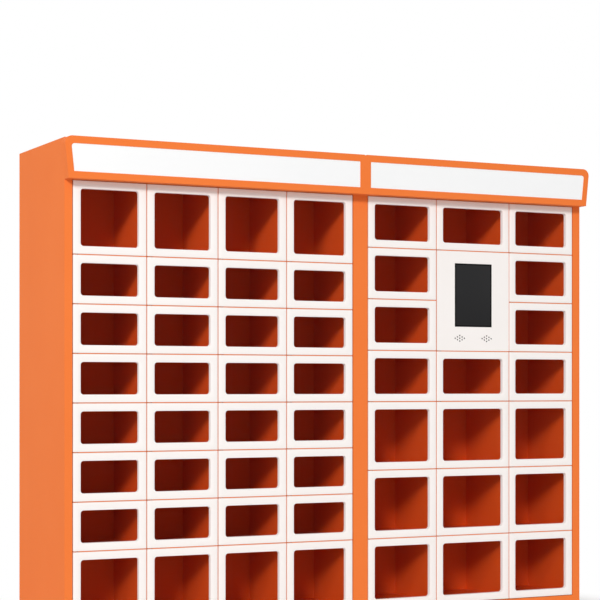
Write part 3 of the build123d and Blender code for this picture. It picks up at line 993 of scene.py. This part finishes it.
@dataclass
class ControlPanel:
    """The control panel's leaf, its touch screen and its two speakers."""

    finishes: Finishes
    ring_tree: bpy.types.NodeTree
    hole_radius: float = 2.6 * MM
    hole_pitch_x: float = 24.0 * MM
    hole_pitch_z: float = 6.2 * MM
    wire_radius: float = 0.35 * MM
    border: float = 6.7 * MM
    glass: float = 1.0 * MM
    glass_corner: float = 1.5 * MM
    display_corner: float = 1.0 * MM
    corner_steps: int = 3
    recess: float = 0.3 * MM
    display_edge: float = 0.1 * MM
    housing_rim: float = 5.0 * MM
    housing_edge: float = 1.5 * MM
    speaker_steps: int = 32
    axis_share: float = 0.001 * MM

    def dress(self) -> None:
        """Dresses the leaf and replaces the screen and the speakers."""
        body = Body.PANEL.value
        leaf = frame["nodes"]["control_panel"].data
        leaf.materials.clear()
        leaf.materials.append(self.finishes.white)
        self.bezel(body)
        self.display(body)
        self.speakers(body)
        self.eyelets(body)

    def bezel(self, body: str) -> None:
        """The glass's black printed border, with its front edges eased.

        Args:
            body: The body it rides on.
        """
        low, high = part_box("touch_screen")
        back = low.y + self.glass
        b = self.border
        rings = []
        for inset, y, radius in (
            (0.0, back, self.glass_corner), (0.0, low.y + self.recess, self.glass_corner),
            (self.recess, low.y, self.glass_corner), (b, low.y, self.display_corner),
            (b, low.y + self.recess, self.display_corner), (b, back, self.display_corner),
        ):
            loop = rounded_loop(
                low.x + inset, high.x - inset, low.z + inset, high.z - inset, radius,
                self.corner_steps,
            )
            rings.append([Vector((x, y, z)) for x, z in loop])
        data = finished(skin(rings, closed=True), "screen_bezel")
        made = piece("screen_bezel", data, self.finishes.bezel, body)
        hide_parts("touch_screen")

    def display(self, body: str) -> None:
        """The unlit display inside the border, and the housing behind it.

        Args:
            body: The body they ride on.
        """
        low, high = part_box("touch_screen")
        back = low.y + self.glass
        b = self.border
        rim = self.housing_rim
        display = box_at(
            Vector((low.x + b, low.y + self.recess, low.z + b)),
            Vector((high.x - b, back, high.z - b)), self.display_edge,
        )
        housing = box_at(
            Vector((low.x + rim, back, low.z + rim)),
            Vector((high.x - rim, high.y, high.z - rim)), self.housing_edge,
        )
        for name, mesh, material, slot in (
            ("screen_display", display, self.finishes.display, Slot.SCREEN),
            ("screen_housing", housing, self.finishes.housing, Slot.ELECTRONICS),
        ):
            piece(name, finished(mesh, name), material, body)

    def eyelets(self, body: str) -> None:
        """A black ring round each hole of the two diamond grilles.

        Args:
            body: The body they ride on.
        """
        low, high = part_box("panel_speakers")
        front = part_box("control_panel")[0].y
        radius = (high.z - low.z) / 2
        middle_z = (low.z + high.z) / 2
        places = []
        for x in (low.x + radius, high.x - radius):
            for row, count in enumerate((1, 2, 3, 2, 1)):
                for n in range(count):
                    places.append(Vector((
                        x + (n - (count - 1) / 2) * self.hole_pitch_x, front - self.wire_radius,
                        middle_z + (2 - row) * self.hole_pitch_z,
                    )))
        sizes = {"Ring Radius": self.hole_radius + self.wire_radius, "Wire Radius": self.wire_radius}
        name = "grille_eyelets"
        points = NodeTool.points(places, name)
        data = NodeTool.apply(points, self.ring_tree, self.finishes.rubber, sizes, name)
        piece(name, data, self.finishes.rubber, body)

    def speakers(self, body: str) -> None:
        """Two speakers with a rim, a chassis and a magnet.

        The profile gives each point as a share of the radius and a share of the depth.

        Args:
            body: The body they ride on.
        """
        low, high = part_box("panel_speakers")
        radius = (high.z - low.z) / 2
        depth = high.y - low.y
        profile = [
            (self.axis_share, 0.28), (0.3, 0.26), (0.78, 0.06), (0.86, 0.0), (1.0, 0.0), (1.0, 0.12),
            (0.9, 0.16), (0.62, 0.55), (0.62, 0.6), (0.7, 0.6), (0.7, 1.0), (self.axis_share, 1.0),
        ]
        scaled = [(r * radius, y * depth) for r, y in profile]
        meshes = []
        for x in (low.x + radius, high.x - radius):
            centre = Vector((x, low.y, (low.z + high.z) / 2))
            meshes.append(lathe(scaled, centre, self.speaker_steps))
        data = finished(join(meshes), "panel_speaker_pair")
        made = piece("panel_speaker_pair", data, self.finishes.housing, body)
        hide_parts("panel_speakers")


@dataclass
class Carcass:
    """The fixed steelwork: both cabinets, the headers, the locks and the dividers."""

    finishes: Finishes
    bar_tree: bpy.types.NodeTree
    door_gap: float = 4.0 * MM
    frame_setback: float = 24.5 * MM
    strip_front: float = 1.2 * MM
    strip_thickness: float = 1.75 * MM
    strip_offset: float = 0.625 * MM
    cross_thickness: float = 3.0 * MM
    swing_clearance: float = 0.5 * MM
    tab_end: float = 22.0 * MM

    def dress(self) -> None:
        """Assigns each fixed node its finish and adds the dividers."""
        looks = {
            "aux_cabinet": self.finishes.orange, "main_cabinet": self.finishes.orange,
            "header_housings": self.finishes.orange, "header_sign_panels": self.finishes.sign,
            "door_locks": self.finishes.zinc, "control_electronics": self.finishes.housing,
        }
        for node, material in looks.items():
            data = frame["nodes"][node].data
            data.materials.clear()
            data.materials.append(material)
        for cabinet, prefix in (("aux_cabinet", "aux_door"), ("main_cabinet", "main_door")):
            self.dividers(cabinet, prefix)

    def dividers(self, cabinet: str, prefix: str) -> None:
        """Thin orange strips that stand on the frame between the leaves.

        They keep clear of each leaf's swing and of the hinge tabs.

        Args:
            cabinet: The cabinet's node.
            prefix: How its doors' names start.
        """
        half = self.door_gap / 2
        leaves = [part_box(n) for n in frame["nodes"] if n.startswith(prefix)]
        if prefix.startswith("main"):
            leaves.append(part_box("control_panel"))
        lefts = sorted({round(low.x - half, 5) for low, _ in leaves})
        bottom = min(low.z for low, _ in leaves)
        top = max(high.z for _, high in leaves)
        front = leaves[0][0].y + self.strip_front
        depth = self.frame_setback - self.strip_front
        middle_y = front + depth / 2
        places = []
        sizes = []
        for x in lefts[1:]:
            places.append(Vector((x - self.strip_offset, middle_y, (bottom + top) / 2)))
            sizes.append(Vector((self.strip_thickness, depth, top - bottom)))
        for low, high in leaves:
            if high.z > top - half:
                continue
            x0 = low.x + self.tab_end
            x1 = high.x - self.swing_clearance
            places.append(Vector(((x0 + x1) / 2, middle_y, high.z + half)))
            sizes.append(Vector((x1 - x0, depth, self.cross_thickness)))
        name = f"{cabinet}_divider_strips"
        points = NodeTool.points(places, name, sizes)
        data = NodeTool.apply(points, self.bar_tree, self.finishes.orange, {}, name)
        piece(name, data, self.finishes.orange, Body.LOCKER.value)


@dataclass
class Studio:
    """Floor, lamps, world and camera."""

    floor_colour: str = "#f4f4f4"
    floor_size: float = 30.0
    lens: float = 106.8
    shift: float = 0.144
    heading_deg: float = 26.6
    eye_left: float = 2.392
    eye_front: float = 6.815
    eye_height: float = 1.077
    ambient: float = 0.5
    key_power: float = 1.48
    key_width_deg: float = 12.0
    key_azimuth_deg: float = 38.0
    key_elevation_deg: float = 24.0
    floor_oval: tuple[float, float] = (1.3, 0.9)
    fade_start: float = 1.0
    fade_end: float = 1.6
    sensor_mm: float = 36.0
    near_power: float = 38.0
    near_size: float = 0.4
    near_offset: tuple[float, float, float] = (-2.5, -3.15, 1.9)

    def build(self) -> None:
        """Adds everything that isn't the object."""
        self.camera()
        self.world()
        self.floor()
        self.lamps()
        bpy.context.scene.view_settings.view_transform = "Standard"

    def camera(self) -> None:
        """The photograph's view, measured from the first door's left edge."""
        first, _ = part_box("aux_door_r1c1")
        data = bpy.data.cameras.new("camera")
        data.lens = self.lens
        data.sensor_width = self.sensor_mm
        data.shift_y = self.shift
        eye = bpy.data.objects.new("camera", data)
        bpy.context.scene.collection.objects.link(eye)
        eye.location = (first.x - self.eye_left, first.y - self.eye_front, self.eye_height)
        eye.rotation_euler = (math.radians(90), 0, math.radians(-self.heading_deg))
        bpy.context.scene.camera = eye

    def world(self) -> None:
        """Soft even light, white where the camera or a reflection sees past the object."""
        world = bpy.data.worlds.new("world")
        world.use_nodes = True
        tree = world.node_tree
        tree.nodes.clear()
        path = add_node(tree, "ShaderNodeLightPath")
        seen = add_node(tree, "ShaderNodeMath", {"operation": "MAXIMUM"}, {
            0: path.outputs["Is Camera Ray"], 1: path.outputs["Is Glossy Ray"],
        })
        seen = add_node(tree, "ShaderNodeMath", {"operation": "MAXIMUM"}, {
            0: seen.outputs[0], 1: path.outputs["Is Transmission Ray"],
        })
        white = (1, 1, 1, 1)
        ambient = add_node(tree, "ShaderNodeBackground", {}, {
            "Color": white, "Strength": self.ambient,
        })
        shown = add_node(tree, "ShaderNodeBackground", {}, {"Color": white, "Strength": 1.0})
        mixed = add_node(tree, "ShaderNodeMixShader", {}, {
            0: seen.outputs[0], 1: ambient.outputs[0], 2: shown.outputs[0],
        })
        add_node(tree, "ShaderNodeOutputWorld", {}, {"Surface": mixed.outputs[0]})
        bpy.context.scene.world = world

    def floor(self) -> None:
        """A pale floor that keeps the locker's shadow and fades to white away from it."""
        mesh = bmesh.new()
        bmesh.ops.create_grid(mesh, x_segments=1, y_segments=1, size=self.floor_size / 2)
        data = bpy.data.meshes.new("floor")
        mesh.to_mesh(data)
        mesh.free()
        floor = link("floor", data)
        material, tree = new_material("pale_floor")
        place = add_node(tree, "ShaderNodeTexCoord").outputs["Object"]
        oval = add_node(tree, "ShaderNodeMapping", {}, {
            "Vector": place, "Scale": (1 / self.floor_oval[0], 1 / self.floor_oval[1], 1.0),
        })
        distance = add_node(tree, "ShaderNodeVectorMath", {"operation": "LENGTH"}, {
            0: oval.outputs["Vector"],
        })
        fade = add_node(tree, "ShaderNodeMapRange", {"interpolation_type": "SMOOTHSTEP"}, {
            "Value": distance.outputs["Value"], "From Min": self.fade_start,
            "From Max": self.fade_end,
        })
        matt = add_node(tree, "ShaderNodeBsdfDiffuse", {}, {"Color": linear(self.floor_colour)})
        glow = add_node(tree, "ShaderNodeEmission", {}, {"Color": (1, 1, 1, 1), "Strength": 1.0})
        path = add_node(tree, "ShaderNodeLightPath")
        seen = add_node(tree, "ShaderNodeMath", {"operation": "MULTIPLY"}, {
            0: fade.outputs["Result"], 1: path.outputs["Is Camera Ray"],
        })
        mixed = add_node(tree, "ShaderNodeMixShader", {}, {
            0: seen.outputs[0], 1: matt.outputs[0], 2: glow.outputs[0],
        })
        add_node(tree, "ShaderNodeOutputMaterial", {}, {"Surface": mixed.outputs[0]})
        data.materials.append(material)

    def lamps(self) -> None:
        """A broad key from the upper left front, and a nearer lamp that lights the left bays."""
        key = bpy.data.lights.new("key", "SUN")
        key.energy = self.key_power
        key.angle = math.radians(self.key_width_deg)
        sun = bpy.data.objects.new("key", key)
        sun.rotation_euler = self.aim(self.key_azimuth_deg, self.key_elevation_deg)
        bpy.context.scene.collection.objects.link(sun)
        near = bpy.data.lights.new("near", "AREA")
        near.energy = self.near_power
        near.size = self.near_size
        lamp = bpy.data.objects.new("near", near)
        first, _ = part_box("aux_door_r1c1")
        lamp.location = first + Vector(self.near_offset)
        lamp.rotation_euler = (-Vector(self.near_offset)).to_track_quat("-Z", "Y").to_euler()
        bpy.context.scene.collection.objects.link(lamp)

    @staticmethod
    def aim(azimuth_deg: float, elevation_deg: float) -> tuple[float, float, float]:
        """The turn of a lamp that shines from the front left.

        Args:
            azimuth_deg: Angle of its place from straight in front, towards the left.
            elevation_deg: Angle above the floor.

        Returns:
            Euler angles.
        """
        azimuth = math.radians(azimuth_deg)
        elevation = math.radians(elevation_deg)
        towards = Vector((
            math.sin(azimuth) * math.cos(elevation), math.cos(azimuth) * math.cos(elevation),
            -math.sin(elevation),
        ))
        return tuple(towards.to_track_quat("-Z", "Y").to_euler())


def main() -> None:
    """Builds the classes in order and reports each piece."""
    logging.basicConfig(level=logging.INFO, format="%(message)s")
    Studio().build()
    finishes = Finishes()
    Carcass(finishes, NodeTool.bars()).dress()
    ControlPanel(finishes, NodeTool.rings()).dress()
    door = FoodDoor(finishes, NodeTool.bead())
    for body, nodes in frame["record"]["behaviour"]["bodies"].items():
        if len(nodes) == 1 and "_door_" in nodes[0]:
            door.dress(nodes[0], body)


if __name__ == "__main__":
    main()
